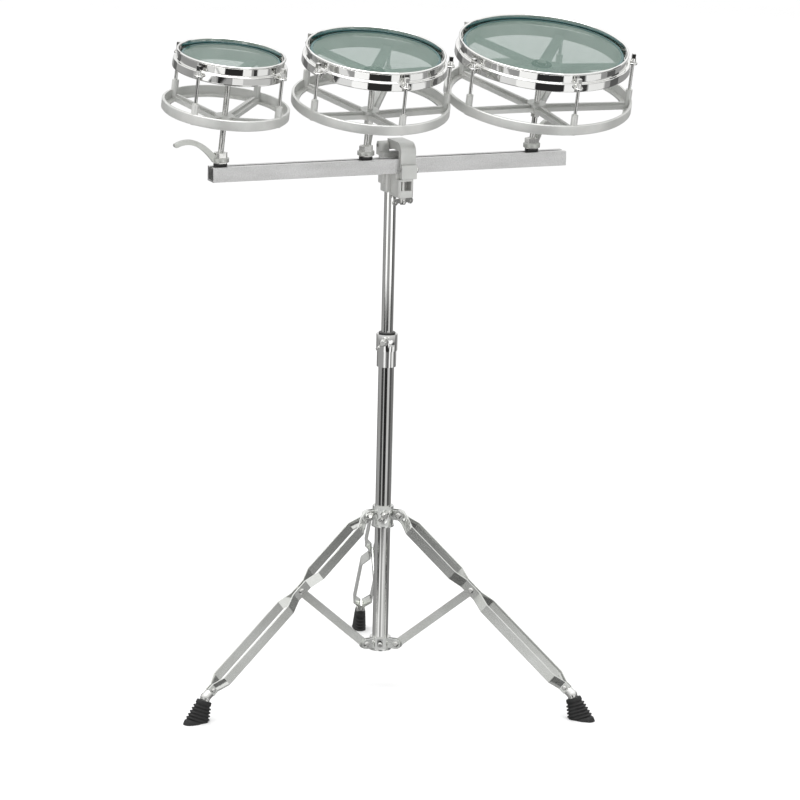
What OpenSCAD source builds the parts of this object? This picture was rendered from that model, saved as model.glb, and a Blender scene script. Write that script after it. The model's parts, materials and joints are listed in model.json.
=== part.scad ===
// Three tunable rototom drums on a slotted rail, carried by a folding
// double-braced tripod stand. Millimetres, +Z up, floor at z = 0, rail along X,
// the player stands on the -Y side.

/* [Stand] */
// Outer diameter of the lower post tube
lower_tube_d = 25.4; // [24:0.1:27]
// Outer diameter of the upper post tube
upper_tube_d = 19.05; // [18:0.05:19.5]
// Wall thickness of both tubes
tube_wall = 1.3; // [1:0.1:1.6]
// Height of the top face of the height collar
height_collar_z = 590; // [560:5:620]
// Height of the upper tube's top end
upper_tube_top_z = 846; // [840:1:848]

/* [Tripod] */
// Direction of the first leg, measured from the rail
tripod_yaw = 73; // [60:1:90]
// Distance of every leg pivot from the post axis
pivot_r = 30; // [29:0.5:32]
// Height of the leg pivots on the sliding collar
collar_pivot_z = 295; // [290:1:300]
// Height of the strut pivots on the fixed hub
hub_pivot_z = 80.4; // [76:0.1:84]
// Angle of each leg from the vertical
leg_angle = 50.2; // [46:0.1:52]
// Width of the leg straps
strap_w = 16.5; // [12:0.5:17]
// Thickness of the leg straps
strap_t = 2.5; // [2:0.1:3]
// Half the width of the loop between two straps, over their outer faces
loop_half_w = 15.5; // [13:0.5:17]
// Lean of the rubber feet from the vertical
foot_lean = 22; // [15:1:30]

/* [Rail] */
// Length of the rail
rail_len = 600; // [590:1:620]
// Distance from the rail's left end to the post axis
rail_left = 311; // [305:1:316]
// Height of the rail's underside above the floor
rail_z = 853.5; // [852:0.5:855]
// Height of the rail's section
rail_h = 23.2; // [22:0.1:25]
// Depth of the rail's section
rail_d = 25.5; // [24:0.5:27]
// Distance from the post axis forward to the rail's middle
rail_forward = 21; // [20:0.5:22]
// Width of the slot along the top of the rail
slot_w = 9; // [8:0.5:10]

/* [Drums] */
// Head diameter of the small drum
small_head_d = 152.4; // [150:0.2:154]
// Head diameter of the middle drum
middle_head_d = 203.2; // [200:0.2:205]
// Head diameter of the large drum
large_head_d = 254; // [250:0.2:256]
// Place of the small drum's mount along the rail, from the post axis
small_x = -295; // [-297:1:-293]
// Place of the middle drum's mount along the rail, from the post axis
middle_x = -52; // [-54:1:-50]
// Place of the large drum's mount along the rail, from the post axis
large_x = 233.5; // [231:0.5:240]
// Forward tilt of the small drum
small_tilt = 8; // [0:0.5:14]
// Forward tilt of the middle drum
middle_tilt = 11.5; // [0:0.5:14]
// Forward tilt of the large drum
large_tilt = 12.5; // [0:0.5:14]
// Sideways lean of the small drum
small_lean = 2.5; // [0:0.5:3]
// Diameter of the centre shafts
shaft_d = 8.8; // [8:0.2:10]
// Height of the hoop's rim above the ball joint
rim_z = 166; // [160:1:170]
// Depth of the head below the hoop's rim
head_recess = 7.5; // [6:0.5:9]
// Height of the lower ring's underside above the ball joint
ring_z = 68.8; // [66:0.2:72]
// Height of the lower ring's outer wall
ring_h = 16.5; // [14:0.5:18]
// Diameter of the tension rods
rod_d = 5.2; // [4.5:0.1:6]

/* [Hidden] */
$fn = 64;
DRUM_NAMES = ["small", "middle", "large"];
DRUM_PARTS = ["rail_bolt", "washer", "clamp_nut", "lever", "shaft",
              "bearing_ring", "head", "hoop", "tension_rods", "lower_ring"];
LEG_PARTS = ["straps", "rivets", "ferrule", "foot"];

// The post stands here so that the origin is under the middle of the whole.
post_x = 4;
post_y = -39;

run_gap = 0.06;      // radial clearance of a shaft in its bore
face_gap = 0.35;     // clearance between faces that move past each other
head_gap = 0.04;     // clearance under rivet heads
sleeve_play = 0.5;   // radial play of the sliding leg collar

lower_r = lower_tube_d / 2;
upper_r = upper_tube_d / 2;
upper_tube_bottom_z = 400;
collar_h = 53;       // height collar, over both steps
screw_low = height_collar_z - 10;
screw_yaw = 235;     // direction of the height collar's wing screw
collar_screw_yaw = tripod_yaw + 180;
leg_collar_low = 21; // leg collar's ends below and above its pivots
leg_collar_high = 13;
hub_low = 12;
hub_high = 9;
post_bottom_z = hub_pivot_z - hub_low + 1;
sleeve_r = 17;       // sleeves of hub and leg collar

// The legs and struts make equal-sided triangles, so the collar stays on the post.
link_len = (collar_pivot_z - hub_pivot_z) / 2 / cos(leg_angle);
strap_end = 389;
ferrule_t = 399;
// Where the ferrule bends from the leg's line towards the floor.
foot_r = pivot_r + ferrule_t * sin(leg_angle);
foot_z = collar_pivot_z - ferrule_t * cos(leg_angle);
foot_half_top = 9;   // half the foot's width across the leg, at its top and 60 mm down
foot_half_low = 12;
rivet_r = 3;
strut_t = 3;
strut_w = 13.5;
ear_t = 3;
ear_r = 8;

// Straps: distance along the leg against distance of the inner face from the middle.
pinch = 0.06;
mid_gap = strut_t / 2 + face_gap;
spread = loop_half_w - strap_t;
end_gap = 1.3;
strap_line = [
  [0, pinch], [12, pinch], [30, spread], [130, spread], [152, mid_gap],
  [181, mid_gap], [204, spread], [360, spread], [378, end_gap], [strap_end, end_gap]];

rail_y = -rail_forward;
rail_top = rail_z + rail_h;
rail_wall = 2.6;
ball_z = rail_top + 16.3;
ball_r = 6.4;
nut_low = 4.6;       // clamp nut above the rail
nut_high = 21.5;
nut_af = 20;
lever_reach = 64;
lever_peak = 30;
lever_root = 4.8;    // half the lever's thickness at its ring and at its tip
lever_tip = 3.4;
barrel_r = 7.5;      // threaded barrel of the rail bolt under the ball
bolt_r = 4;

head_d = [small_head_d, middle_head_d, large_head_d];
mount_x = [small_x, middle_x, large_x];
tilt = [small_tilt, middle_tilt, large_tilt];
lean = [small_lean, 0, 0];
rod_count = [4, 5, 5];
rod_phase = [-51, -16, -19];
lever_turn = [180, 58, 40];

head_z = rim_z - head_recess;
film_t = 0.4;
hoop_in = 4.5;       // radii from here on are counted outward from the head's edge
hoop_t = 2.3;
rim_roll_r = 2;
hoop_low = 18;       // underside of the hoop's flange below the rim
flange_t = 2.5;
flange_out = 12;
lip_out = 1.6;       // the flange's inner lip over the head's own hoop
skirt_h = 11;        // skirt that hangs from the flange's outer edge
skirt_t = 2.2;
ear_low = 22.5;      // underside of the rod ears below the rim
ear_h = 3.4;
rod_out = 17;
ring_out = 22.8;
ring_t = 4;
floor_w = 13;
floor_t = 3.2;
boss_r = 5.4;
boss_h = 32;
bearing_h = 24;
bearing_t = 5;
upper_hub_z = head_z - 28;
upper_hub_r = 17.5;
upper_hub_t = 7;
lower_hub_low = 52;
lower_hub_high = 66;
lower_hub_r = 14.8;
arm_w = 17;          // arms of both rings at their hubs and at their tips
arm_tip_w = 15;

clamp_x0 = 0;        // clamp jaw's left side, from the post axis
clamp_w = 25.5;
rail_front = rail_y - rail_d / 2;
rail_back = rail_y + rail_d / 2;
hinge_y = 14;
hinge_z = rail_top + 15;
jaw_back = rail_front - face_gap;
jaw_t = 6;
jaw_boss_t = 11.4;
jaw_low = rail_z - 8;
saddle_x0 = clamp_x0 - 5;
saddle_low = rail_z - 37;
screw_x = clamp_x0 + 4.5;
screw_y = jaw_back - jaw_boss_t / 2;
barrel_z = rail_z + 6;

// ---------- shared shapes ----------

module tube(outer_r, inner_r, low, high) {
  translate([0, 0, low]) difference() {
    cylinder(r = outer_r, h = high - low);
    translate([0, 0, -1]) cylinder(r = inner_r, h = high - low + 2);
  }
}

// A ring turned from a closed outline of [radius, height] points.
module turned(points) rotate_extrude($fn = 128) polygon(points);

// A bar from x = 0 to len with round ends, lying flat, thickness along Z.
module round_bar(len, w, t) {
  linear_extrude(height = t, center = true) {
    translate([0, -w / 2]) square([len, w]);
    circle(d = w);
    translate([len, 0]) circle(d = w);
  }
}

// A block with round upright edges.
module round_block(x0, x1, y0, y1, z0, z1, r) {
  translate([0, 0, z0]) linear_extrude(height = z1 - z0) {
    translate([x0 + r, y0]) square([x1 - x0 - 2 * r, y1 - y0]);
    translate([x0, y0 + r]) square([x1 - x0, y1 - y0 - 2 * r]);
    for (x = [x0 + r, x1 - r], y = [y0 + r, y1 - r]) translate([x, y]) circle(r = r);
  }
}

// A screw along +Z from a threaded tip at z = 0 to a hub with two wings.
module wing_screw(thread_len, span, r = 3) {
  cylinder(r = r, h = thread_len + 1);
  translate([0, 0, thread_len]) cylinder(r = r + 2.8, h = 8);
  translate([0, 0, thread_len + 8]) cylinder(r1 = r + 2.8, r2 = r + 1, h = 3);
  for (side = [0, 180]) rotate([90, 0, side])
    translate([0, thread_len + 4, 0]) linear_extrude(height = 3.2, center = true)
      difference() {
        union() {
          translate([0, -3]) square([span / 2 - 5, 7]);
          translate([span / 2 - 5, 2]) circle(r = 5);
        }
        translate([span / 2 - 5, 2]) circle(r = 1.6);
      }
}

module at_post() translate([post_x, post_y, 0]) children();

// Radial direction is +X and tangential is +Y in a leg's own frame.
module leg_frame(i) at_post() rotate([0, 0, tripod_yaw + 120 * i]) children();

// +X runs down the leg from its collar pivot, +Y is tangential.
module along_leg(i) {
  leg_frame(i) translate([pivot_r, 0, collar_pivot_z]) rotate([0, 90 - leg_angle, 0])
    children();
}

// +X runs up the strut from its hub pivot, +Y is tangential.
module along_strut(i) {
  leg_frame(i) translate([pivot_r, 0, hub_pivot_z]) rotate([0, leg_angle - 90, 0])
    children();
}

// Sleeve with three pairs of ears, each pair on both sides of a slot.
module eared_sleeve(bore, low, high, pivot_z, slot_half) {
  difference() {
    union() {
      translate([0, 0, pivot_z - low]) cylinder(r = sleeve_r, h = low + high);
      translate([0, 0, pivot_z - low]) cylinder(r = sleeve_r + 1.2, h = 3);
      for (i = [0:2]) rotate([0, 0, 120 * i]) for (s = [-1, 1])
        translate([0, s * (slot_half + ear_t / 2), pivot_z]) rotate([90, 0, 0])
          linear_extrude(height = ear_t, center = true) {
            translate([bore + 1, -ear_r]) square([pivot_r - bore - 1, 2 * ear_r]);
            translate([pivot_r, 0]) circle(r = ear_r);
          }
    }
    translate([0, 0, pivot_z - low - 1]) cylinder(r = bore, h = low + high + 2);
    for (i = [0:2]) rotate([0, 0, 120 * i])
      translate([pivot_r, 0, pivot_z]) rotate([90, 0, 0])
        cylinder(r = rivet_r + run_gap, h = 40, center = true);
  }
}

// Rivet along Y with a low head at both ends, which just clears what it holds.
module rivet(half_len, r = rivet_r) {
  rotate([90, 0, 0]) cylinder(r = r, h = 2 * half_len + 1, center = true);
  for (s = [0, 180]) rotate([90, 0, s]) translate([0, 0, half_len + head_gap]) {
    cylinder(r = r + 1.8, h = 1.2);
    translate([0, 0, 1.2]) cylinder(r1 = r + 1.8, r2 = r, h = 1);
  }
}

// ---------- stand ----------

module lower_tube() color("silver") at_post() difference() {
  tube(lower_r, lower_r - tube_wall, post_bottom_z, height_collar_z - 22);
  hub_screw_place() cylinder(r = 2 + run_gap, h = 40);
}

module fixed_hub() color("lightgray") at_post() difference() {
  rotate([0, 0, tripod_yaw]) eared_sleeve(lower_r, hub_low, hub_high, hub_pivot_z, mid_gap);
  hub_screw_place() {
    cylinder(r = 2 + run_gap, h = 40);
    translate([0, 0, sleeve_r - 0.6]) cylinder(r = 4.4, h = 8);
  }
}

// Axis of the screw that locks the hub on the tube, between two pairs of ears.
module hub_screw_place() translate([0, 0, hub_pivot_z - 1.5]) rotate([90, 0, -23]) children();

module hub_rivets() color("gainsboro") {
  for (i = [0:2]) leg_frame(i) translate([pivot_r, 0, hub_pivot_z])
    rivet(mid_gap + ear_t, rivet_r);
  at_post() hub_screw_place() {
    translate([0, 0, lower_r - 2]) cylinder(r = 2, h = sleeve_r - lower_r + 2);
    translate([0, 0, sleeve_r - 0.5]) {
      cylinder(r = 3.6, h = 1.4);
      translate([0, 0, 1.4]) cylinder(r1 = 3.6, r2 = 2, h = 1);
    }
  }
}

module height_collar() color("silver") at_post() difference() {
  union() {
    translate([0, 0, height_collar_z - collar_h]) cylinder(r = 15.6, h = collar_h);
    translate([0, 0, height_collar_z - 27]) cylinder(r = 17, h = 27);
    translate([0, 0, screw_low]) rotate([0, 90, screw_yaw]) cylinder(r = 6.5, h = 20);
  }
  translate([0, 0, height_collar_z - collar_h - 1]) cylinder(r = lower_r, h = collar_h - 21);
  translate([0, 0, height_collar_z - 22.5]) cylinder(r = 12.2, h = 30);
  translate([0, 0, screw_low]) rotate([0, 90, screw_yaw]) cylinder(r = 3 + run_gap, h = 30);
}

module height_bush() color("dimgray") at_post() difference() {
  union() {
    translate([0, 0, height_collar_z - 22]) cylinder(r = 12.2, h = 22);
    translate([0, 0, height_collar_z]) cylinder(r = 13.4, h = 2.4);
  }
  translate([0, 0, height_collar_z - 23]) cylinder(r = upper_r + run_gap, h = 30);
  translate([0, 0, screw_low]) rotate([0, 90, screw_yaw]) cylinder(r = 3.6, h = 30);
}

module height_screw() color("silver") at_post()
  translate([0, 0, screw_low]) rotate([0, 90, screw_yaw])
    translate([0, 0, upper_r + face_gap]) rotate([0, 0, 135]) wing_screw(11.5, 32);

module upper_tube() color("silver") at_post()
  tube(upper_r, upper_r - tube_wall, upper_tube_bottom_z, upper_tube_top_z);

module leg_collar() color("silver") at_post() difference() {
  union() {
    rotate([0, 0, tripod_yaw])
      eared_sleeve(lower_r + sleeve_play, leg_collar_low, leg_collar_high,
                   collar_pivot_z, strap_t + pinch + face_gap);
    translate([0, 0, collar_pivot_z + 2]) rotate([0, 90, collar_screw_yaw])
      cylinder(r = 5.5, h = 20);
  }
  translate([0, 0, collar_pivot_z - 40]) cylinder(r = lower_r + sleeve_play, h = 80);
  translate([0, 0, collar_pivot_z + 2]) rotate([0, 90, collar_screw_yaw])
    cylinder(r = 2.5 + run_gap, h = 40);
}

module collar_screw() color("silver") at_post()
  translate([0, 0, collar_pivot_z + 2]) rotate([0, 90, collar_screw_yaw])
    translate([0, 0, lower_r + face_gap]) rotate([0, 0, 135]) wing_screw(9, 26, 2.5);

module strut(i) color("gainsboro") along_strut(i) difference() {
  rotate([90, 0, 0]) round_bar(link_len, strut_w, strut_t);
  for (x = [0, link_len]) translate([x, 0, 0]) rotate([90, 0, 0])
    cylinder(r = rivet_r + run_gap, h = 20, center = true);
}

// One bent strap on the +Y side of the leg's middle plane.
module strap() {
  last = len(strap_line) - 1;
  outline = concat(strap_line,
    [for (k = [last:-1:0]) strap_line[k] + [0, strap_t]]);
  intersection() {
    translate([-10, 0, 0]) linear_extrude(height = 2 * strap_w, center = true) union() {
      translate([10, 0]) polygon(outline);
      translate([0, pinch]) square([10.1, strap_t]);
    }
    rotate([90, 0, 0]) linear_extrude(height = 60, center = true) {
      translate([0, -strap_w / 2]) square([strap_end, strap_w]);
      circle(d = strap_w);
    }
  }
}

module leg_straps(i) color("gainsboro") along_leg(i) difference() {
  for (s = [0, 1]) mirror([0, s, 0]) strap();
  for (x = [0, link_len]) translate([x, 0, 0]) rotate([90, 0, 0])
    cylinder(r = rivet_r, h = 60, center = true);
  translate([strap_end - 5.5, 0, 0]) rotate([90, 0, 0]) cylinder(r = 2, h = 60, center = true);
}

module leg_rivets(i) color("silver") along_leg(i) {
  rivet(strap_t + pinch + face_gap + ear_t);
  translate([link_len, 0, 0]) rivet(mid_gap + strap_t);
}

module foot_frame(i) leg_frame(i) translate([foot_r, 0, foot_z]) rotate([0, 180 - foot_lean, 0])
  children();

module leg_ferrule(i) color("gainsboro") {
  along_leg(i) {
    translate([strap_end - 10.5, -end_gap, -5]) cube([12.5, 2 * end_gap, 10]);
    translate([strap_end + 0.3, 0, 0]) rotate([0, 90, 0]) cylinder(r = 7.8, h = 10);
    translate([strap_end - 5.5, 0, 0]) rivet(end_gap + strap_t, 2);
    translate([ferrule_t, 0, 0]) sphere(r = 8.3);
  }
  foot_frame(i) cylinder(r = 7.8, h = 5.5);
  foot_frame(i) cylinder(r = 6, h = 24);
}

// Ribbed rubber foot, narrow across the leg and cut flat where it stands on the floor.
module leg_foot(i) color([0.1, 0.1, 0.11]) intersection() {
  foot_frame(i) translate([0, 0, 5.5]) difference() {
    turned(concat([[0, 0], [12.2, 0], [13, 1], [13, 6], [12, 7]],
      [for (k = [0:4]) each [
        [12.2 + 1.5 * k, 9 + 5.4 * k], [15.6 + 1.35 * k, 9.6 + 5.4 * k],
        [15.9 + 1.35 * k, 12.4 + 5.4 * k], [13 + 1.5 * k, 13.1 + 5.4 * k]]],
      [[20.5, 37], [22, 40], [22, 80], [0, 80]]));
    translate([0, 0, -1]) cylinder(r = 6, h = 20);
  }
  foot_frame(i) rotate([90, 0, 90]) linear_extrude(height = 120, center = true)
    polygon([[-foot_half_top, 0], [foot_half_top, 0], [foot_half_low, 60], [-foot_half_low, 60]]);
  translate([-600, -600, 0]) cube([1200, 1200, 200]);
}

// ---------- rail and clamp ----------

module rail() color("lightgray") at_post()
  translate([-rail_left, rail_y, rail_z]) rotate([90, 0, 90]) linear_extrude(height = rail_len)
    difference() {
      translate([-rail_d / 2, 0]) square([rail_d, rail_h]);
      translate([-rail_d / 2 + rail_wall, rail_wall])
        square([rail_d - 2 * rail_wall, rail_h - 2 * rail_wall]);
      translate([-slot_w / 2, rail_h - rail_wall - 1]) square([slot_w, rail_wall + 2]);
    }

// Casting: socket on the post, wall behind the rail, saddle under and before it.
module clamp_body() color("darkgray") at_post() difference() {
  union() {
    round_block(-13, 13, -13, 13, rail_z - 33, rail_z - face_gap, 4);
    round_block(-17, clamp_x0 + clamp_w, rail_back + face_gap, 12, rail_z - 20, rail_top + 6, 2);
    round_block(saddle_x0, saddle_x0 + clamp_w, jaw_back - jaw_boss_t, -6,
                saddle_low, jaw_low - face_gap, 3);
    round_block(saddle_x0, saddle_x0 + clamp_w, rail_front + face_gap, -6,
                jaw_low - 3, rail_z - face_gap, 0.5);
    translate([-17, 0, 0]) knuckle(16.6);
  }
  translate([0, 0, 700]) cylinder(r = upper_r + run_gap, h = upper_tube_top_z + 1 - 700);
  translate([saddle_x0 + 4, jaw_back - jaw_boss_t - 1, rail_z - 26])
    cube([clamp_w - 8, jaw_boss_t + 6, 15]);
  translate([screw_x, screw_y, 700]) cylinder(r = 3 + run_gap, h = 200);
  translate([-100, hinge_y, hinge_z]) rotate([0, 90, 0]) cylinder(r = 3, h = 200);
  translate([0, 0, rail_z - 22]) rotate([-90, 0, 0]) cylinder(r = 2.5, h = 60);
}

module knuckle(w) rotate([90, 0, 90]) linear_extrude(height = w) {
  translate([hinge_y, hinge_z]) circle(r = 7);
  translate([hinge_y - 7, rail_top]) square([14, 15]);
}

// Side outline of the hooked jaw that passes over the rail and down its front.
module jaw_outline() difference() {
  union() {
    translate([jaw_back + 10.35, rail_top + 9]) circle(r = 10.35 + jaw_t);
    translate([jaw_back + 10.35, rail_top + 12])
      square([hinge_y - jaw_back - 8, 13.35]);
    translate([jaw_back - jaw_t, jaw_low]) square([jaw_t, rail_h + 17]);
    translate([jaw_back - jaw_boss_t, jaw_low]) square([jaw_boss_t, 22.5]);
    translate([hinge_y, hinge_z]) circle(r = 7);
  }
  translate([jaw_back, rail_z - 20]) square([45, 20 + rail_h + face_gap]);
  translate([jaw_back + 4.35, rail_top - 5]) square([36, 17]);
}

module clamp_jaw() color("lightgray") at_post() difference() {
  translate([clamp_x0, 0, 0]) rotate([90, 0, 90]) linear_extrude(height = clamp_w)
    jaw_outline();
  translate([-100, hinge_y, hinge_z]) rotate([0, 90, 0]) cylinder(r = 3, h = 200);
  translate([-100, screw_y, barrel_z]) rotate([0, 90, 0]) cylinder(r = 4.2, h = 200);
  translate([screw_x, screw_y, 700]) cylinder(r = 3 + run_gap, h = barrel_z - 700);
  translate([clamp_x0 + clamp_w - 7, -60, jaw_low - 8]) rotate([0, 45, 0])
    cube([20, 60, 8]);
}

// Hinge pin behind the rail, and the barrel nut in the jaw's front boss.
module jaw_pins() color("silver") at_post() {
  translate([-18, hinge_y, hinge_z]) rotate([0, 90, 0]) cylinder(r = 3, h = 45);
  difference() {
    translate([clamp_x0, screw_y, barrel_z]) rotate([0, 90, 0]) {
      cylinder(r = 4.2, h = clamp_w);
      translate([0, 0, clamp_w]) cylinder(r = 5.4, h = 2.2);
      translate([0, 0, clamp_w + 2.2]) cylinder(r1 = 5.4, r2 = 3.5, h = 1.6);
    }
    translate([screw_x, screw_y, 700]) cylinder(r = 3 + run_gap, h = barrel_z + 2 - 700);
  }
}

module clamp_screw() color("gray") at_post()
  translate([screw_x, screw_y, barrel_z - 1]) rotate([180, 0, 20])
    wing_screw(barrel_z - 1 - saddle_low + face_gap, 42);

module socket_screw() color("silver") at_post()
  translate([0, upper_r + face_gap, rail_z - 22]) rotate([-90, 0, 0]) cylinder(r = 2.5, h = 12);

// ---------- drums ----------

module at_mount(d) at_post() translate([mount_x[d], rail_y, 0]) children();

// The drum's own frame: origin in the ball joint, +Z up its shaft.
module drum_frame(d) at_mount(d) translate([0, 0, ball_z]) rotate([tilt[d], lean[d], 0]) children();

module around_rods(d) for (k = [0:rod_count[d] - 1])
  rotate([0, 0, rod_phase[d] + 360 * k / rod_count[d]]) children();

module rail_bolt(d) color("silver") at_mount(d) difference() {
  union() {
    translate([-9, -8.5, rail_top - rail_wall - face_gap - 5]) cube([18, 17, 5]);
    translate([0, 0, rail_top - rail_wall - 6]) cylinder(r = bolt_r, h = rail_wall + 12);
    translate([0, 0, rail_top + nut_low - 0.2]) cylinder(r = barrel_r, h = ball_z - rail_top - 8.2);
  }
  translate([0, 0, ball_z]) sphere(r = ball_r + face_gap);
}

module washer(d) color([0.1, 0.1, 0.1]) at_mount(d)
  tube(10.8, bolt_r, rail_top + face_gap, rail_top + nut_low - 0.2);

module clamp_nut(d) color("silver") at_mount(d) difference() {
  translate([0, 0, rail_top + nut_low + face_gap]) rotate([0, 0, lever_turn[d]])
    cylinder(d = nut_af / cos(30), h = nut_high - nut_low, $fn = 6);
  translate([0, 0, rail_top]) cylinder(r = barrel_r + run_gap, h = ball_z - rail_top - 1);
  translate([0, 0, ball_z]) sphere(r = ball_r + face_gap);
  translate([0, 0, ball_z]) cylinder(r1 = 5.6, r2 = 7.6, h = 8);
}

module lever(d) color("silver") at_mount(d) rotate([0, 0, lever_turn[d]])
  difference() {
    union() {
      translate([0, 0, rail_top + 7]) cylinder(r = 13.5, h = 6.5);
      translate([0, 0, rail_top + 10]) rotate([90, 0, 0])
        linear_extrude(height = 8.5, center = true) lever_outline();
    }
    translate([0, 0, rail_top]) cylinder(d = nut_af / cos(30), h = 40, $fn = 6);
  }

// Side outline of the lever: it rises in a long arc and droops at its tip.
function lever_rise(s) = lever_peak * (1 - pow((s - 0.72) / 0.72, 2));
function lever_slope(s) = -2 * lever_peak * (s - 0.72) / 0.5184 / lever_reach;
function lever_side(s, h) = let (a = atan(lever_slope(s)))
  [9 + lever_reach * s - h * sin(a), lever_rise(s) + h * cos(a)];
function lever_half(s) = lever_root + (lever_tip - lever_root) * s;
module lever_outline() {
  polygon(concat([for (k = [0:14]) lever_side(k / 14, lever_half(k / 14))],
                 [for (k = [14:-1:0]) lever_side(k / 14, -lever_half(k / 14))]));
  translate(lever_side(1, 0)) circle(r = lever_tip);
}

module shaft(d) color("silver") drum_frame(d) {
  sphere(r = ball_r);
  cylinder(d = shaft_d, h = upper_hub_z + 7);
  translate([0, 0, upper_hub_z - upper_hub_t - face_gap - 6]) cylinder(r = 9, h = 6);
  translate([0, 0, 43]) cylinder(d = 15, h = 6, $fn = 6);
  translate([0, 0, upper_hub_z + face_gap]) cylinder(d = 15, h = 5.5, $fn = 6);
}

// A spoke from the hub to the ring: its side outline, cut to a tapering plan.
module spoke(r0, z0, r1, z1, t, w0, w1) intersection() {
  rotate([90, 0, 0]) linear_extrude(height = 2 * w0, center = true)
    polygon([[r0, z0], [r1, z1], [r1, z1 + t], [r0, z0 + t]]);
  linear_extrude(height = 400) polygon([[r0, -w0 / 2], [r1, -w1 / 2], [r1, w1 / 2], [r0, w0 / 2]]);
}

module bearing_ring(d) color("silver") drum_frame(d) {
  r = head_d[d] / 2;
  z0 = head_z - film_t - bearing_h;
  zt = head_z - film_t;
  turned([[r - bearing_t, z0], [r + 3, z0], [r + 3.4, z0 + 1], [r + 3.4, z0 + 9],
          [r + 0.3, z0 + 9.4], [r + 0.3, zt - 1.5], [r - 1, zt], [r - 2.5, zt],
          [r - bearing_t, zt - 4]]);
  around_rods(d)
    spoke(upper_hub_r - 2, upper_hub_z - 6.5, r - bearing_t + 1, z0 + 0.6, 6, arm_w, arm_tip_w);
  difference() {
    translate([0, 0, upper_hub_z - upper_hub_t]) cylinder(r = upper_hub_r, h = upper_hub_t);
    cylinder(d = shaft_d + 2 * run_gap, h = 400);
  }
}

// Clear film crimped into its metal hoop.
module head(d) {
  r = head_d[d] / 2;
  color([0.65, 0.78, 0.74, 0.5]) drum_frame(d) turned([
    [0, head_z - film_t], [r - 0.4, head_z - film_t], [r + 0.5, head_z - 1.6],
    [r + 0.5, head_z - 15], [r + 0.9, head_z - 15], [r + 0.9, head_z - 1.4],
    [r - 0.2, head_z], [0, head_z]]);
  color("silver") drum_frame(d)
    tube(r + 3.6, r + 0.9, head_z - 15, head_z - 12);
}

// Counter hoop: a wall under a rolled rim, a flange, and a skirt with an ear for each rod.
module hoop(d) color("silver") drum_frame(d) {
  r = head_d[d] / 2;
  wall = r + hoop_in;
  edge = r + flange_out;
  low = rim_z - hoop_low;
  difference() {
    union() {
      turned([[r + lip_out, low], [edge - skirt_t, low], [edge - skirt_t, low - skirt_h],
              [edge, low - skirt_h], [edge, low + flange_t], [wall + hoop_t, low + flange_t],
              [wall + hoop_t, rim_z - 2], [wall, rim_z - 2], [wall, low + flange_t],
              [r + lip_out, low + flange_t]]);
      translate([0, 0, rim_z - rim_roll_r]) rotate_extrude($fn = 128)
        translate([wall + hoop_t - 0.4, 0]) circle(r = rim_roll_r, $fn = 32);
      around_rods(d) translate([0, 0, rim_z - ear_low]) linear_extrude(height = ear_h) {
        translate([edge - 1, -7]) square([rod_out - flange_out + 1, 14]);
        translate([r + rod_out, 0]) circle(r = 7);
      }
    }
    around_rods(d) translate([r + rod_out, 0, 0]) cylinder(d = rod_d + 0.4, h = 400);
  }
}

module tension_rods(d) color("silver") drum_frame(d) around_rods(d)
  translate([head_d[d] / 2 + rod_out, 0, 0]) {
    seat = rim_z - ear_low + ear_h;
    translate([0, 0, ring_z + 1]) cylinder(d = rod_d, h = seat - ring_z);
    translate([0, 0, seat]) cylinder(r = 5.4, h = 1.6);
    translate([0, 0, seat + 1.6]) cylinder(r = 4.2, h = 5);
    translate([-3, -3, seat + 6.6]) cube([6, 6, 7.6]);
  }

module lower_ring(d) color("darkgray") drum_frame(d) {
  r = head_d[d] / 2 + ring_out;
  rod_at = head_d[d] / 2 + rod_out;
  difference() {
    union() {
      turned([[r - floor_w, ring_z], [r - 2, ring_z], [r, ring_z + 2], [r, ring_z + ring_h - 1],
              [r - 1, ring_z + ring_h], [r - ring_t, ring_z + ring_h],
              [r - ring_t, ring_z + floor_t], [r - floor_w, ring_z + floor_t]]);
      around_rods(d) {
        translate([rod_at, 0, ring_z]) cylinder(r = boss_r, h = boss_h);
        spoke(lower_hub_r - 4, lower_hub_low + 2, rod_at - 2, ring_z + 0.4, 7, arm_w, arm_tip_w);
        spoke(lower_hub_r - 4, lower_hub_low + 7, rod_at - 2, ring_z + 5, 5.5, 4, 4);
      }
      translate([0, 0, lower_hub_low]) cylinder(r = lower_hub_r, h = lower_hub_high - lower_hub_low);
    }
    around_rods(d) translate([rod_at, 0, ring_z + 1]) cylinder(d = rod_d, h = 100);
    cylinder(d = shaft_d + 2 * run_gap, h = 400);
  }
}

module drum_part(d, p) {
  if (p == "rail_bolt") rail_bolt(d);
  if (p == "washer") washer(d);
  if (p == "clamp_nut") clamp_nut(d);
  if (p == "lever") lever(d);
  if (p == "shaft") shaft(d);
  if (p == "bearing_ring") bearing_ring(d);
  if (p == "head") head(d);
  if (p == "hoop") hoop(d);
  if (p == "tension_rods") tension_rods(d);
  if (p == "lower_ring") lower_ring(d);
}

module leg_part(i, p) {
  if (p == "straps") leg_straps(i);
  if (p == "rivets") leg_rivets(i);
  if (p == "ferrule") leg_ferrule(i);
  if (p == "foot") leg_foot(i);
}

lower_tube();
fixed_hub();
hub_rivets();
height_collar();
height_bush();
height_screw();
upper_tube();
leg_collar();
collar_screw();
for (i = [0:2]) strut(i);
for (i = [0:2]) for (p = LEG_PARTS)
  leg_part(i, p);
rail();
clamp_body();
clamp_jaw();
jaw_pins();
clamp_screw();
socket_screw();
for (d = [0:2]) for (p = DRUM_PARTS)
  drum_part(d, p);
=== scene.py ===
import json
import math

import bmesh
import bpy
from mathutils import Euler, Matrix, Vector

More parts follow.
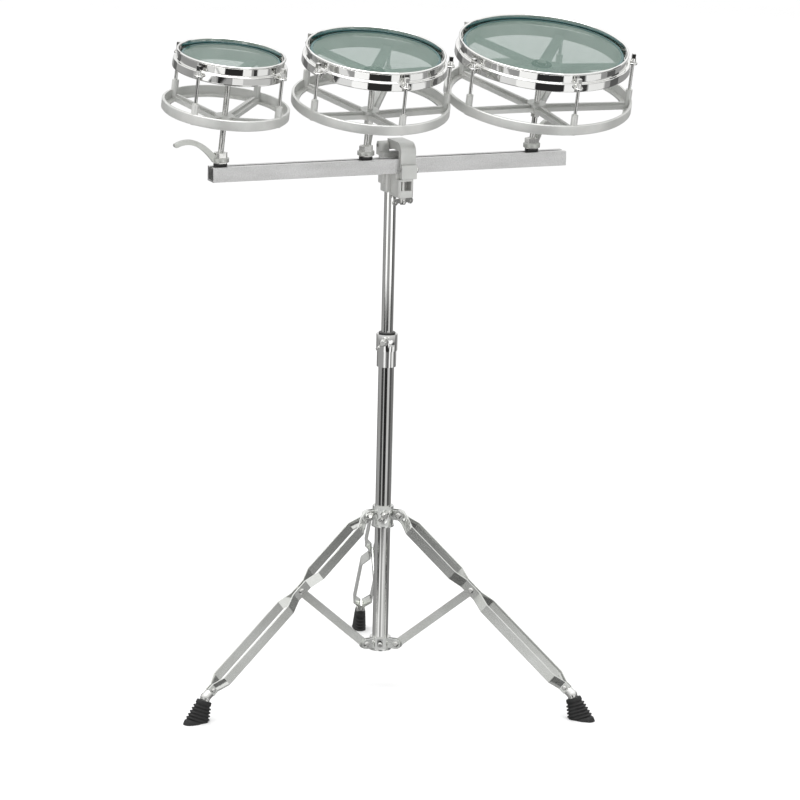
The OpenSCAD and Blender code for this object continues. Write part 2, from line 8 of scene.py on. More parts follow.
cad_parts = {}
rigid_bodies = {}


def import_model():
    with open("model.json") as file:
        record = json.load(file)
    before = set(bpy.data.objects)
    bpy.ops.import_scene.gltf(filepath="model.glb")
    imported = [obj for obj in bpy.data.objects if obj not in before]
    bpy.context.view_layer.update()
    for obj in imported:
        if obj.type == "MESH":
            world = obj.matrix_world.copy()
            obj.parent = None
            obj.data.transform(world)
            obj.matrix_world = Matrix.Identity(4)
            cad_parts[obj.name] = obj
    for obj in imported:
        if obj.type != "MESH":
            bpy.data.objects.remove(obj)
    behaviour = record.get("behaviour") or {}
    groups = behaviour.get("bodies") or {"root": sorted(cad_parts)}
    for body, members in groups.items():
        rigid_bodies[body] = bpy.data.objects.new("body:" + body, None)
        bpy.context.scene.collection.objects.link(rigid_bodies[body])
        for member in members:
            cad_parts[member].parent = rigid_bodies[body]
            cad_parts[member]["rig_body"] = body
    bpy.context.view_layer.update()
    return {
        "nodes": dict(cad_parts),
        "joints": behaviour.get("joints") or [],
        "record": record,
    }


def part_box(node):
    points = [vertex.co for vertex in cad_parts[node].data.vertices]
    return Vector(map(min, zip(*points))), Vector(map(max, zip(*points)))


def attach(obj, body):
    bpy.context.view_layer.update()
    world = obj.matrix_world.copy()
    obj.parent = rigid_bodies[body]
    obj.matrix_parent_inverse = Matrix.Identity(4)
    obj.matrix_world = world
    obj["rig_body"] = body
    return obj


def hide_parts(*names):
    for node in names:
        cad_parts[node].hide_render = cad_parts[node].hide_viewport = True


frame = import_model()
nodes = frame["nodes"]
scene = bpy.context.scene

MM = 0.001
DRUMS = ("small", "middle", "large")
LEGS = ("leg_1", "leg_2", "leg_3")
HEAD_RADIUS = {"small": 76.2, "middle": 101.6, "large": 127.0}
ROD_COUNT = {"small": 4, "middle": 5, "large": 5}
ROD_PHASE = {"small": -51.0, "middle": -16.0, "large": -19.0}

# Sizes shared with the CAD drums, in millimetres above the ball joint or outward from the head's edge
RIM_Z = 166.0
HEAD_Z = 158.5
HOOP_IN = 4.5
HOOP_WALL = 2.3
FLANGE_LOW = 148.0
FLANGE_THICK = 2.5
FLANGE_OUT = 12.0
LIP_OUT = 1.6
SKIRT_LOW = 137.0
SKIRT_WALL = 2.2
SKIRT_FLARE = 0.5
EAR_LOW = 143.5
EAR_HIGH = 146.9
ROD_OUT = 17.0
FILM = 0.4
HUB_TOP = 130.5
HUB_RADIUS = 17.5
NUT_RADIUS = 8.9
CRIMP_Z = HEAD_Z - 13.5

# Places of the rubber feet, in millimetres and degrees: distance from the post, height of the ferrule's bend
TRIPOD_YAW = 73.0
LEG_ANGLE = 50.2
FOOT_OUT = 30.0 + 399.0 * math.sin(math.radians(LEG_ANGLE))
FOOT_BEND = 295.0 - 399.0 * math.cos(math.radians(LEG_ANGLE))
FOOT_LEAN = 22.0

# Shading: a face larger than BROAD_AREA is flat if its neighbours lie flush with it or meet it at an edge,
# and a face larger than LARGE_AREA always is (square metres, degrees)
BROAD_AREA = 12.0 * MM * MM
LARGE_AREA = 400.0 * MM * MM
FLUSH_ANGLE = 0.6
EDGE_ANGLE = 12.0


# ---------- camera ----------

VIEW_YAW = math.radians(23.105)
VIEW_DOWN = math.radians(13.05)
VIEW_ROLL = math.radians(1.366)
VIEW_DISTANCE = 6.7098
AIM_RIGHT = 0.0231
AIM_HEIGHT = 0.4816
LENS = 189.0
SENSOR = 36.0


def middle_of(node):
    low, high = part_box(node)
    return (low + high) / 2


def post_axis():
    centre = middle_of("upper_tube")
    return Vector((centre.x, centre.y, 0.0))


def make_camera():
    level = Vector((math.sin(VIEW_YAW), math.cos(VIEW_YAW), 0))
    right = Vector((math.cos(VIEW_YAW), -math.sin(VIEW_YAW), 0))
    forward = level * math.cos(VIEW_DOWN) - Vector((0, 0, math.sin(VIEW_DOWN)))
    up = right.cross(forward)
    turned_right = right * math.cos(VIEW_ROLL) + up * math.sin(VIEW_ROLL)
    turned_up = up * math.cos(VIEW_ROLL) - right * math.sin(VIEW_ROLL)
    data = bpy.data.cameras.new("photo_view")
    data.lens = LENS
    data.sensor_width = SENSOR
    data.clip_end = 100
    camera = bpy.data.objects.new("photo_view", data)
    scene.collection.objects.link(camera)
    aim = post_axis() + right * AIM_RIGHT + Vector((0, 0, AIM_HEIGHT))
    columns = Matrix((turned_right, turned_up, -forward)).transposed()
    camera.matrix_world = Matrix.Translation(aim - forward * VIEW_DISTANCE) @ columns.to_4x4()
    scene.camera = camera


# ---------- node helpers ----------

class Nodes:
    """A small builder for one node tree."""

    def __init__(self, tree):
        self.tree = tree
        self.tree.nodes.clear()

    def add(self, kind, **values):
        node = self.tree.nodes.new(kind)
        for name, value in values.items():
            if name in node.inputs:
                node.inputs[name].default_value = value
            else:
                setattr(node, name, value)
        return node

    def link(self, source, target):
        self.tree.links.new(source, target)

    def math(self, operation, a, b=0.0, c=0.0):
        node = self.add("ShaderNodeMath", operation=operation)
        for socket, value in zip(node.inputs, (a, b, c)):
            if isinstance(value, (int, float)):
                socket.default_value = value
            else:
                self.link(value, socket)
        return node.outputs[0]

    def noise(self, vector, scale, detail=3.0, rough=0.5):
        node = self.add("ShaderNodeTexNoise", Scale=scale, Detail=detail, Roughness=rough)
        self.link(vector, node.inputs["Vector"])
        return node.outputs["Fac"]

    def stretched(self, vector, scale):
        node = self.add("ShaderNodeMapping")
        node.inputs["Scale"].default_value = scale
        self.link(vector, node.inputs["Vector"])
        return node.outputs["Vector"]

    def ramp(self, factor, stops, interpolation="LINEAR"):
        node = self.add("ShaderNodeValToRGB")
        ramp = node.color_ramp
        ramp.interpolation = interpolation
        while len(ramp.elements) < len(stops):
            ramp.elements.new(0.5)
        for element, (place, colour) in zip(ramp.elements, stops):
            element.position = place
            element.color = (*colour, 1) if len(colour) == 3 else colour
        self.link(factor, node.inputs["Fac"])
        return node.outputs["Color"]

    def bump(self, height, strength, distance):
        node = self.add("ShaderNodeBump", Strength=strength, Distance=distance)
        self.link(height, node.inputs["Height"])
        return node.outputs["Normal"]


def grey(level):
    return (level, level, level)


def new_material(name):
    material = bpy.data.materials.new(name)
    material.use_nodes = True
    build = Nodes(material.node_tree)
    place = build.add("ShaderNodeTexCoord").outputs["Object"]
    shader = build.add("ShaderNodeBsdfPrincipled")
    output = build.add("ShaderNodeOutputMaterial")
    build.link(shader.outputs[0], output.inputs["Surface"])
    return material, build, shader, place


# ---------- materials ----------

def metal(name, dark, light, rough, grain, bump, patch=18.0, stretch=(1, 1, 1), grain_scale=1500.0,
          metallic=1.0):
    """Metal whose colour and gloss drift in soft patches, with a fine grain on its surface."""
    material, build, shader, place = new_material(name)
    shader.inputs["Metallic"].default_value = metallic
    drift = build.noise(place, patch, 4.0, 0.6)
    colour = build.ramp(drift, [(0.3, dark), (0.7, light)])
    build.link(colour, shader.inputs["Base Color"])
    fine = build.noise(build.stretched(place, stretch), grain_scale, 2.0)
    build.link(build.math("MULTIPLY_ADD", fine, grain, rough - grain / 2), shader.inputs["Roughness"])
    build.link(build.bump(fine, bump, 0.0001), shader.inputs["Normal"])
    return material


def chrome():
    return metal("chrome", (0.74, 0.74, 0.72), (0.84, 0.84, 0.83), 0.04, 0.04, 0.02, patch=9.0)


def plated():
    return metal("satin_plate", (0.64, 0.65, 0.62), (0.73, 0.74, 0.72), 0.09, 0.05, 0.05, stretch=(1, 1, 0.2),
                 metallic=0.85)


def casting_plate():
    return metal("plated_casting", (0.66, 0.67, 0.65), (0.80, 0.81, 0.79), 0.15, 0.12, 0.14, patch=40.0)


def casting():
    """Silver lacquer over a casting: part mirror, part matte."""
    return metal("silver_casting", (0.57, 0.58, 0.56), (0.66, 0.66, 0.64), 0.36, 0.12, 0.30, patch=26.0,
                 grain_scale=900.0, metallic=0.5)


def lever_plate():
    return metal("lever_plate", (0.50, 0.51, 0.48), (0.60, 0.61, 0.58), 0.30, 0.12, 0.14, patch=50.0,
                 metallic=0.7)


def hardware():
    return metal("zinc_hardware", (0.62, 0.62, 0.60), (0.78, 0.78, 0.76), 0.18, 0.12, 0.08, patch=60.0)


def stippled_rail():
    """Bright aluminium with a pressed stipple of small shallow dents."""
    material, build, shader, place = new_material("stippled_rail")
    shader.inputs["Metallic"].default_value = 1.0
    dents = build.add("ShaderNodeTexVoronoi", Scale=420.0)
    dents.feature = "SMOOTH_F1"
    build.link(place, dents.inputs["Vector"])
    speckle = build.noise(place, 520.0, 3.0, 0.7)
    drift = build.noise(build.stretched(place, (1, 4, 4)), 14.0, 3.0)
    mixed = build.math("MULTIPLY_ADD", speckle, 0.6, build.math("MULTIPLY", drift, 0.4))
    colour = build.ramp(mixed, [(0.3, (0.58, 0.58, 0.57)), (0.7, (0.84, 0.84, 0.84))])
    build.link(colour, shader.inputs["Base Color"])
    build.link(build.math("MULTIPLY_ADD", speckle, 0.25, 0.22), shader.inputs["Roughness"])
    height = build.math("ADD", dents.outputs["Distance"], speckle)
    build.link(build.bump(height, 0.5, 0.0006), shader.inputs["Normal"])
    return material


def dull_black(name, dark, light, rough, bump, scale):
    """Moulded black with faint worn patches and a fine matte grain."""
    material, build, shader, place = new_material(name)
    wear = build.noise(place, scale, 5.0, 0.65)
    build.link(build.ramp(wear, [(0.35, dark), (0.75, light)]), shader.inputs["Base Color"])
    fine = build.noise(place, scale * 14, 3.0)
    build.link(build.math("MULTIPLY_ADD", fine, 0.18, rough), shader.inputs["Roughness"])
    build.link(build.bump(fine, bump, 0.0003), shader.inputs["Normal"])
    return material


def tinted_film(name, dark, light, alpha):
    """Green-tinted clear film with a faint haze and handling marks."""
    material, build, shader, place = new_material(name)
    haze = build.noise(place, 22.0, 5.0, 0.6)
    build.link(build.ramp(haze, [(0.3, dark), (0.8, light)]), shader.inputs["Base Color"])
    marks = build.noise(build.stretched(place, (1, 6, 1)), 260.0, 3.0)
    build.link(build.math("MULTIPLY_ADD", marks, 0.03, 0.02), shader.inputs["Roughness"])
    shader.inputs["Alpha"].default_value = alpha
    shader.inputs["IOR"].default_value = 1.6
    shader.inputs["Specular IOR Level"].default_value = 0.3
    shader.inputs["Coat Weight"].default_value = 0.1
    shader.inputs["Coat Roughness"].default_value = 0.02
    return material


MATERIALS = {
    "chrome": chrome(), "plated": plated(), "casting_plate": casting_plate(), "casting": casting(),
    "lever": lever_plate(), "hardware": hardware(), "rail": stippled_rail(),
    "film": tinted_film("clear_film", (0.05, 0.12, 0.09), (0.09, 0.17, 0.135), 0.45),
    "film_edge": tinted_film("film_edge", (0.01, 0.07, 0.07), (0.02, 0.10, 0.10), 0.95),
    "rubber": dull_black("rubber", grey(0.006), grey(0.022), 0.50, 0.35, 60.0),
    "nylon": dull_black("nylon", grey(0.008), grey(0.020), 0.32, 0.12, 90.0)}


# ---------- mesh helpers ----------

def new_piece(name, mesh_build, material, body, slot, *replaced):
    mesh = bpy.data.meshes.new(name)
    mesh_build.to_mesh(mesh)
    mesh_build.free()
    piece = bpy.data.objects.new(name, mesh)
    scene.collection.objects.link(piece)
    mesh.materials.append(MATERIALS[material])
    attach(piece, body)
    if replaced:
        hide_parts(*replaced)
    return piece


def is_broad(face):
    """True for a flat face that is very large, or is broad and meets its neighbours flush or at an edge."""
    angles = [math.degrees(e.calc_face_angle(0)) for e in face.edges]
    edged = all(a < FLUSH_ANGLE or a > EDGE_ANGLE for a in angles)
    return face.calc_area() > (BROAD_AREA if edged else LARGE_AREA)


def smooth(mesh, angle=35.0):
    """Smooth shading, with broad flat faces left flat and sharp edges at more than the angle."""
    build = bmesh.new()
    build.from_mesh(mesh)
    for face in build.faces:
        face.smooth = not is_broad(face)
    for edge in build.edges:
        edge.smooth = len(edge.link_faces) != 2 or edge.calc_face_angle(0) < math.radians(angle)
    build.to_mesh(mesh)
    build.free()


def soften(node, width, material, slot, segments=2):
    """A copy of a CAD node with every sharp edge rounded, which stands for the node."""
    build = bmesh.new()
    build.from_mesh(nodes[node].data)
    bmesh.ops.remove_doubles(build, verts=build.verts, dist=0.000002)
    bmesh.ops.dissolve_limit(build, angle_limit=math.radians(0.6), verts=build.verts, edges=build.edges)
    piece = new_piece(node + "_finished", build, material, nodes[node]["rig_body"], slot, node)
    rounding = piece.modifiers.new("round", "BEVEL")
    rounding.width = width * MM
    rounding.segments = segments
    rounding.limit_method = "ANGLE"
    rounding.angle_limit = math.radians(32)
    rounding.miter_outer = "MITER_ARC"
    bake_modifiers(piece)
    smooth(piece.data)
    return piece


def bake_modifiers(piece):
    bpy.context.view_layer.update()
    evaluated = piece.evaluated_get(bpy.context.evaluated_depsgraph_get())
    baked = bpy.data.meshes.new_from_object(evaluated)
    piece.modifiers.clear()
    piece.data = baked


def arc(centre, radius, start, end, steps):
    """Points on an arc, in degrees, for a turned outline."""
    return [(centre[0] + radius * math.cos(math.radians(start + (end - start) * k / steps)),
             centre[1] + radius * math.sin(math.radians(start + (end - start) * k / steps)))
            for k in range(steps + 1)]


def rounded_section(left, right, low, high, radius, steps=4):
    """Outline of a rectangle with rounded corners."""
    corners = ((left + radius, low + radius), (right - radius, low + radius),
               (right - radius, high - radius), (left + radius, high - radius))
    return [point for k, corner in enumerate(corners)
            for point in arc(corner, radius, 180 + 90 * k, 270 + 90 * k, steps)]


def rings_round(build, outline, segments):
    """The points of an outline of (radius, height), in millimetres, at each step round the axis."""
    rings = []
    for k in range(segments):
        a = 2 * math.pi * k / segments
        rings.append([build.verts.new((r * math.cos(a) * MM, r * math.sin(a) * MM, z * MM))
                      for r, z in outline])
    return rings


def turn(build, outline, segments=192):
    """Adds a ring turned from a closed outline."""
    rings = rings_round(build, outline, segments)
    count = len(outline)
    for k in range(segments):
        here, there = rings[k], rings[(k + 1) % segments]
        for j in range(count):
            build.faces.new((here[j], there[j], there[(j + 1) % count], here[(j + 1) % count]))


def turn_solid(build, outline, segments=64):
    """Adds a solid turned from an outline that starts and ends on the axis."""
    first, last = (build.verts.new((0, 0, z * MM)) for z in (outline[0][1], outline[-1][1]))
    rings = rings_round(build, outline[1:-1], segments)
    for k in range(segments):
        here, there = rings[k], rings[(k + 1) % segments]
        build.faces.new((first, there[0], here[0]))
        build.faces.new((last, here[-1], there[-1]))
        for j in range(len(here) - 1):
            build.faces.new((here[j], there[j], there[j + 1], here[j + 1]))


def settle(build, matrix):
    """Puts a finished mesh in its place and turns its faces outward."""
    bmesh.ops.transform(build, matrix=matrix, verts=build.verts)
    bmesh.ops.recalc_face_normals(build, faces=build.faces)


# ---------- drums ----------

def joint(name):
    return next(j for j in frame["joints"] if j["name"] == name)


def drum_matrix(drum):
    """Place of a drum's own frame: origin in the ball joint, +Z up its shaft."""
    axis = Vector(joint(drum + "_tune")["axis"])
    lean = math.atan2(axis.x, axis.z)
    tilt = math.asin(-axis.y)
    return Matrix.Translation(joint(drum + "_tune")["pos_m"]) @ Euler((tilt, lean, 0)).to_matrix().to_4x4()


def rod_angles(drum):
    """Directions of a drum's tension rods, in radians round its shaft."""
    count = ROD_COUNT[drum]
    return [math.radians(ROD_PHASE[drum] + 360 * k / count) for k in range(count)]


def make_head(drum):
    """Film with a turned-down collar, the metal hoop that it is crimped into, and its dark rim."""
    r = HEAD_RADIUS[drum]
    film = bmesh.new()
    turn_solid(film, [(0, HEAD_Z - FILM), (r - 1.2, HEAD_Z - FILM),
                      *arc((r - 1.2, HEAD_Z - 1.8), 1.4, 90, 0, 5),
                      (r + 0.6, HEAD_Z - 14), (r + 0.85, HEAD_Z - 14),
                      *arc((r - 1.2, HEAD_Z - 2.05), 2.05, 0, 90, 6), (0, HEAD_Z)], 160)
    settle(film, drum_matrix(drum))
    piece = new_piece(drum + "_film", film, "film", drum + "_drum", "clear_head", drum + "_head")
    smooth(piece.data, 40)
    crimp = bmesh.new()
    turn(crimp, rounded_section(r + 0.9, r + 3.6, CRIMP_Z - 1.5, CRIMP_Z + 1.5, 0.6))
    settle(crimp, drum_matrix(drum))
    piece = new_piece(drum + "_head_hoop", crimp, "hardware", drum + "_drum", "hardware")
    smooth(piece.data)
    edge = bmesh.new()
    turn(edge, [(r - 3.4, HEAD_Z + 0.02), (r - 3.4, HEAD_Z + 0.3), (r - 1.6, HEAD_Z + 0.45),
                *arc((r - 1.2, HEAD_Z - 1.9), 2.3, 80, 0, 6), (r + 0.9, HEAD_Z - 1.9)])
    settle(edge, drum_matrix(drum))
    piece = new_piece(drum + "_film_edge", edge, "film_edge", drum + "_drum", "clear_head")
    smooth(piece.data, 50)


def make_hub_cap(drum):
    """Black cover on the bearing ring's hub, round the lock nut."""
    r = HUB_RADIUS - 1.0
    build = bmesh.new()
    turn(build, [(NUT_RADIUS, HUB_TOP + 0.02), (r, HUB_TOP + 0.02),
                 *arc((r - 1.0, HUB_TOP + 0.5), 1.0, 0, 90, 5),
                 (NUT_RADIUS + 0.7, HUB_TOP + 1.5), (NUT_RADIUS, HUB_TOP + 0.9)], 96)
    settle(build, drum_matrix(drum))
    piece = new_piece(drum + "_hub_cap", build, "nylon", drum + "_drum", "nylon")
    smooth(piece.data)


def make_hoop(drum):
    """Counter hoop: a wall under a rolled rim, a flange with an inner lip, and a skirt with the ears."""
    inner = HEAD_RADIUS[drum] + HOOP_IN
    wall = inner + HOOP_WALL
    edge = HEAD_RADIUS[drum] + FLANGE_OUT
    lip = HEAD_RADIUS[drum] + LIP_OUT
    top = FLANGE_LOW + FLANGE_THICK
    flared = edge + SKIRT_FLARE
    half = SKIRT_WALL / 2
    build = bmesh.new()
    turn(build, [
        *arc((lip + 0.9, FLANGE_LOW + 0.9), 0.9, 180, 270, 3),
        *arc((edge - SKIRT_WALL - 1.2, FLANGE_LOW - 1.2), 1.2, 90, 0, 4),
        *arc((flared - half, SKIRT_LOW + half), half, 180, 360, 8),
        (flared - 0.05, SKIRT_LOW + 2.0), (edge + 0.05, top - 1.8),
        *arc((edge - 1.1, top - 1.1), 1.1, 0, 90, 4), *arc((wall + 1.2, top + 1.2), 1.2, 270, 180, 4),
        (wall, top + 2.0), (wall, RIM_Z - 4.8), *arc((wall - 0.4, RIM_Z - 2.0), 2.0, -78, 200, 20),
        (inner, RIM_Z - 3.4), (inner, top + 2.0), *arc((inner - 1.0, top + 1.0), 1.0, 0, -90, 4),
        *arc((lip + 0.9, top - 0.9), 0.9, 90, 180, 3)])
    piece_matrix = drum_matrix(drum)
    settle(build, piece_matrix)
    piece = new_piece(drum + "_counter_hoop", build, "chrome", drum + "_tension_frame", "chrome_hoop",
                      drum + "_hoop")
    smooth(piece.data, 50)
    ears = bmesh.new()
    reach = HEAD_RADIUS[drum] + ROD_OUT
    for angle in rod_angles(drum):
        make_ear(ears, reach, edge, angle)
    settle(ears, piece_matrix)
    piece = new_piece(drum + "_hoop_ears", ears, "chrome", drum + "_tension_frame", "chrome_hoop")
    rounding = piece.modifiers.new("round", "BEVEL")
    rounding.width = 0.9 * MM
    rounding.segments = 3
    rounding.limit_method = "ANGLE"
    rounding.angle_limit = math.radians(40)
    bake_modifiers(piece)
    smooth(piece.data)


def make_ear(build, reach, edge, angle, steps=16, half=7.0, hole=2.9):
    """A rounded ear with a through hole for its rod, joined to the hoop's skirt."""
    low, high = EAR_LOW, EAR_HIGH
    root = edge - 1.0 - reach
    outline = [(root, -half), *arc((0, 0), half, -90, 90, steps), (root, half)]
    ring = arc((0, 0), hole, -180, 180, 2 * steps)[:-1]
    turned = Matrix.Rotation(angle, 3, "Z")

    def corner(point, z):
        return build.verts.new(turned @ Vector(((point[0] + reach) * MM, point[1] * MM, z * MM)))

    outer = {z: [corner(p, z) for p in outline] for z in (low, high)}
    inner = {z: [corner(p, z) for p in ring] for z in (low, high)}
    for loop in (outer, inner):
        count = len(loop[low])
        for k in range(count):
            after = (k + 1) % count
            build.faces.new((loop[low][k], loop[low][after], loop[high][after], loop[high][k]))
    for z in (low, high):
        edges = []
        for loop in (outer[z], inner[z]):
            edges += [build.edges.get((loop[k], loop[(k + 1) % len(loop)])) for k in range(len(loop))]
        bmesh.ops.triangle_fill(build, edges=edges, use_beauty=True)


# ---------- rubber feet ----------

def oval(half_long, half_wide, steps=48, power=2.7):
    """Points round a soft-cornered oval, in millimetres."""
    points = []
    for k in range(steps):
        a = 2 * math.pi * k / steps
        points.append((math.copysign(abs(math.cos(a)) ** (2 / power), math.cos(a)) * half_long,
                       math.copysign(abs(math.sin(a)) ** (2 / power), math.sin(a)) * half_wide))
    return points


def foot_sections():
    """(depth down the foot, half length along the leg, half width across it) from the collar to the sole."""
    sections = [(5.5, 11.6, 8.2), (6.1, 12.3, 8.8), (10.9, 12.9, 9.2), (11.9, 12.7, 9.0), (12.6, 11.8, 8.3)]
    for k in range(5):
        depth = 14.5 + 5.4 * k
        groove = (12.0 + 1.5 * k, 8.3 + 0.28 * k)
        rib = (15.3 + 1.35 * k, 9.6 + 0.30 * k)
        sections += [(depth, *groove), (depth + 0.7, rib[0] - 0.5, rib[1] - 0.3), (depth + 1.3, *rib),
                     (depth + 2.6, *rib), (depth + 3.3, rib[0] - 0.4, rib[1] - 0.3),
                     (depth + 3.9, groove[0] + 0.9, groove[1] + 0.1)]
    return sections + [(42.2, 20.0, 10.6), (43.4, 21.6, 11.2), (46.0, 21.9, 11.5), (80.0, 21.9, 11.5)]


def make_foot(leg, number):
    """Ribbed boot in the foot's own frame, +Z down its axis, cut flat where it meets the floor."""
    build = bmesh.new()
    rings = [[build.verts.new((x * MM, y * MM, depth * MM)) for x, y in oval(half_long, half_wide)]
             for depth, half_long, half_wide in foot_sections()]
    count = len(rings[0])
    for upper, lower in zip(rings, rings[1:]):
        for k in range(count):
            build.faces.new((upper[k], upper[(k + 1) % count], lower[(k + 1) % count], lower[k]))
    build.faces.new(rings[0])
    build.faces.new(rings[-1])
    bend = Matrix.Translation((FOOT_OUT * MM, 0, FOOT_BEND * MM)) @ Matrix.Rotation(
        math.radians(180 - FOOT_LEAN), 4, "Y")
    settle(build, Matrix.Translation(post_axis()) @ Matrix.Rotation(
        math.radians(TRIPOD_YAW + 120 * number), 4, "Z") @ bend)
    cut = bmesh.ops.bisect_plane(build, geom=[*build.verts, *build.edges, *build.faces], plane_co=(0, 0, 0),
                                 plane_no=(0, 0, -1), clear_outer=True)
    rim = [e for e in cut["geom_cut"] if isinstance(e, bmesh.types.BMEdge)]
    bmesh.ops.contextual_create(build, geom=rim)
    bmesh.ops.recalc_face_normals(build, faces=build.faces)
    piece = new_piece(leg + "_rubber_boot", build, "rubber", leg, "rubber", leg + "_foot")
    smooth(piece.data, 40)


# ---------- CAD nodes with a better finish ----------

def finish_node(node, material):
    """Gives a CAD node that keeps its shape a finished material."""
    piece = nodes[node]
    piece.data.materials.clear()
    piece.data.materials.append(MATERIALS[material])


def slot_of(node):
    """The record's material slot of a CAD node."""
    return next(s["material_slot"] for s in frame["record"]["subparts"] if s["node"] == node)


# Nodes that get rounded edges: radius in millimetres and material
ROUNDED = {"fixed_hub": (0.8, "casting_plate"), "leg_collar": (0.7, "casting_plate"),
           "height_collar": (0.8, "chrome"), "clamp_body": (0.9, "casting"), "clamp_jaw": (0.9, "casting"),
           "height_screw": (0.6, "hardware"), "collar_screw": (0.6, "hardware"),
           "clamp_screw": (0.6, "hardware"), "rail": (0.35, "rail")}
for name in LEGS:
    ROUNDED[name + "_straps"] = (0.5, "plated")
    ROUNDED[name + "_ferrule"] = (0.5, "hardware")
    ROUNDED[name.replace("leg", "strut")] = (0.5, "plated")
for drum in DRUMS:
    ROUNDED[drum + "_lower_ring"] = (0.7, "casting")
    ROUNDED[drum + "_bearing_ring"] = (0.6, "casting")
    ROUNDED[drum + "_lever"] = (1.6, "lever")
    ROUNDED[drum + "_clamp_nut"] = (0.6, "hardware")
    ROUNDED[drum + "_tension_rods"] = (0.5, "chrome")
    ROUNDED[drum + "_shaft"] = (0.4, "hardware")
    ROUNDED[drum + "_washer"] = (0.6, "nylon")

# Nodes that keep their CAD shape, and their materials
PLAIN = {"lower_tube": "chrome", "upper_tube": "chrome", "hub_rivets": "hardware", "height_bush": "nylon",
         "jaw_pins": "hardware", "socket_screw": "hardware"}
for name in LEGS:
    PLAIN[name + "_rivets"] = "hardware"
for drum in DRUMS:
    PLAIN[drum + "_rail_bolt"] = "hardware"


# ---------- floor, lights and surroundings ----------

def make_floor():
    build = bmesh.new()
    bmesh.ops.create_grid(build, x_segments=1, y_segments=1, size=40)
    mesh = bpy.data.meshes.new("floor")
    build.to_mesh(mesh)
    build.free()
    floor = bpy.data.objects.new("floor", mesh)
    scene.collection.objects.link(floor)
    material, build, shader, place = new_material("pale_floor")
    tone = build.noise(place, 1.5, 3.0)
    build.link(build.ramp(tone, [(0.3, grey(0.86)), (0.7, grey(0.88))]), shader.inputs["Base Color"])
    shader.inputs["Roughness"].default_value = 0.8
    mesh.materials.append(material)
    floor.visible_glossy = False


# Studio surroundings as panels of light: (azimuth range, elevation range, brightness), in degrees.
# Azimuth 0 is where the camera stands, and it grows to the camera's right. Each row of panels lies where
# a group of mirror-like parts looks from the front: the post, the legs' upper and lower halves, the post
# again at three heights, the hoops' walls and skirts, and two dark strips at the back.
PANELS = (
    ((-75, -24), (-19, -5), 0.50), ((24, 76), (-19, -5), 0.66),
    ((-70, -34), (-15.8, -10.0), 0.06), ((-70, -34), (-24.0, -15.9), 0.85),
    ((54, 94), (-15.8, -10.0), 0.10), ((54, 94), (-24.0, -15.9), 0.66),
    ((-21, 19), (-14.8, -11.8), 0.02),
    ((-60, -26), (-11.6, -4), 1.5), ((-25, 22), (-11.6, -4), 0.40), ((24, 62), (-11.6, -4), 1.5),
    ((-33, -20), (-19, -15.1), 1.2), ((-18, 6), (-19, -15.1), 0.42), ((8, 30), (-19, -15.1), 1.0),
    ((-36, -10), (-35, -19.5), 1.15), ((-10, 30), (-35, -19.5), 0.03), ((30, 50), (-35, -19.5), 1.1),
    ((55, 64), (-35, -19.5), 0.05), ((66, 92), (-35, -19.5), 1.0),
    ((-45, 28), (-62, -36), 0.03), ((28, 58), (-62, -36), 1.1), ((58, 74), (-62, -36), 0.05),
    ((74, 95), (-62, -36), 1.1),
    ((104, 122), (-60, 30), 0.12), ((-150, -130), (-60, 30), 0.16))
LOW_LIGHT = 0.36
BASE_LIGHT = 0.66
OVERHEAD = 1.25


def between(build, value, low, high, soft):
    """1 where the value lies between low and high, with a soft edge."""
    rise = build.add("ShaderNodeMapRange", interpolation_type="SMOOTHSTEP")
    fall = build.add("ShaderNodeMapRange", interpolation_type="SMOOTHSTEP")
    for node, start, end in ((rise, low - soft, low + soft), (fall, high + soft, high - soft)):
        build.link(value, node.inputs["Value"])
        node.inputs["From Min"].default_value = start
        node.inputs["From Max"].default_value = end
    return build.math("MULTIPLY", rise.outputs[0], fall.outputs[0])


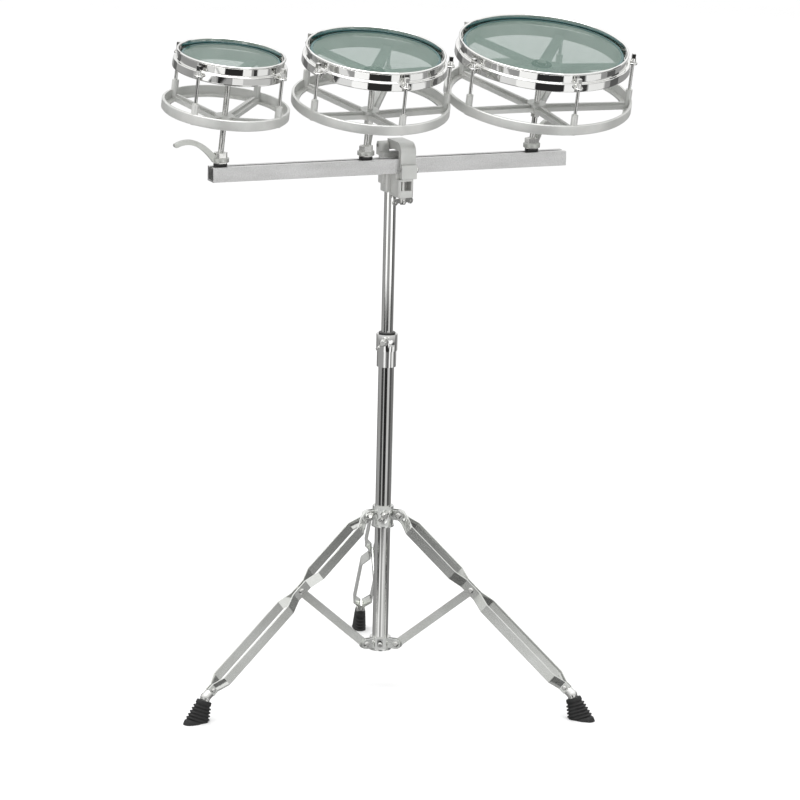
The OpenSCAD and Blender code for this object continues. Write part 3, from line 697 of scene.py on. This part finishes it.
def make_world():
    """Pale surroundings with the panels in them. The camera itself sees an even pale grey."""
    world = bpy.data.worlds.new("studio")
    scene.world = world
    world.use_nodes = True
    build = Nodes(world.node_tree)
    direction = build.add("ShaderNodeTexCoord").outputs["Generated"]
    turned = build.add("ShaderNodeVectorRotate", rotation_type="Z_AXIS", Angle=VIEW_YAW)
    build.link(direction, turned.inputs["Vector"])
    parts = build.add("ShaderNodeSeparateXYZ")
    build.link(turned.outputs["Vector"], parts.inputs[0])
    x, y, z = parts.outputs
    azimuth = build.math("MULTIPLY", build.math("ARCTAN2", x, build.math("MULTIPLY", y, -1.0)), 180 / math.pi)
    height = build.math("MULTIPLY", build.math("ARCSINE", z), 180 / math.pi)
    level = build.ramp(build.math("MULTIPLY_ADD", z, 0.5, 0.5), [
        (0.0, grey(LOW_LIGHT)), (0.44, grey(LOW_LIGHT)), (0.52, grey(BASE_LIGHT)), (0.8, grey(OVERHEAD)),
        (1.0, grey(OVERHEAD))])
    for (left, right), (low, high), brightness in PANELS:
        mask = build.math("MULTIPLY", between(build, azimuth, left, right, 0.8),
                          between(build, height, low, high, 0.25))
        mix = build.add("ShaderNodeMix", data_type="RGBA")
        build.link(mask, mix.inputs["Factor"])
        build.link(level, mix.inputs["A"])
        mix.inputs["B"].default_value = (brightness, brightness, brightness, 1)
        level = mix.outputs["Result"]
    sight = build.add("ShaderNodeLightPath").outputs["Is Camera Ray"]
    shown = build.add("ShaderNodeMix", data_type="RGBA")
    build.link(sight, shown.inputs["Factor"])
    build.link(level, shown.inputs["A"])
    shown.inputs["B"].default_value = (0.9, 0.9, 0.9, 1)
    background = build.add("ShaderNodeBackground")
    build.link(shown.outputs["Result"], background.inputs["Color"])
    output = build.add("ShaderNodeOutputWorld")
    build.link(background.outputs[0], output.inputs["Surface"])


def make_overhead_light():
    data = bpy.data.lights.new("overhead_softbox", "AREA")
    data.shape = "RECTANGLE"
    data.size = 2.6
    data.size_y = 2.0
    data.energy = 55
    light = bpy.data.objects.new("overhead_softbox", data)
    scene.collection.objects.link(light)
    light.matrix_world = Matrix.Translation(post_axis() + Vector((-0.5, -0.6, 3.4)))
    light.visible_camera = False


# ---------- assembly ----------

make_camera()
make_world()
make_overhead_light()
make_floor()
for drum in DRUMS:
    make_head(drum)
    make_hub_cap(drum)
    make_hoop(drum)
for number, leg in enumerate(LEGS):
    make_foot(leg, number)
for node, (width, material) in ROUNDED.items():
    soften(node, width, material, slot_of(node))
for node, material in PLAIN.items():
    finish_node(node, material)
scene.view_settings.view_transform = "Standard"
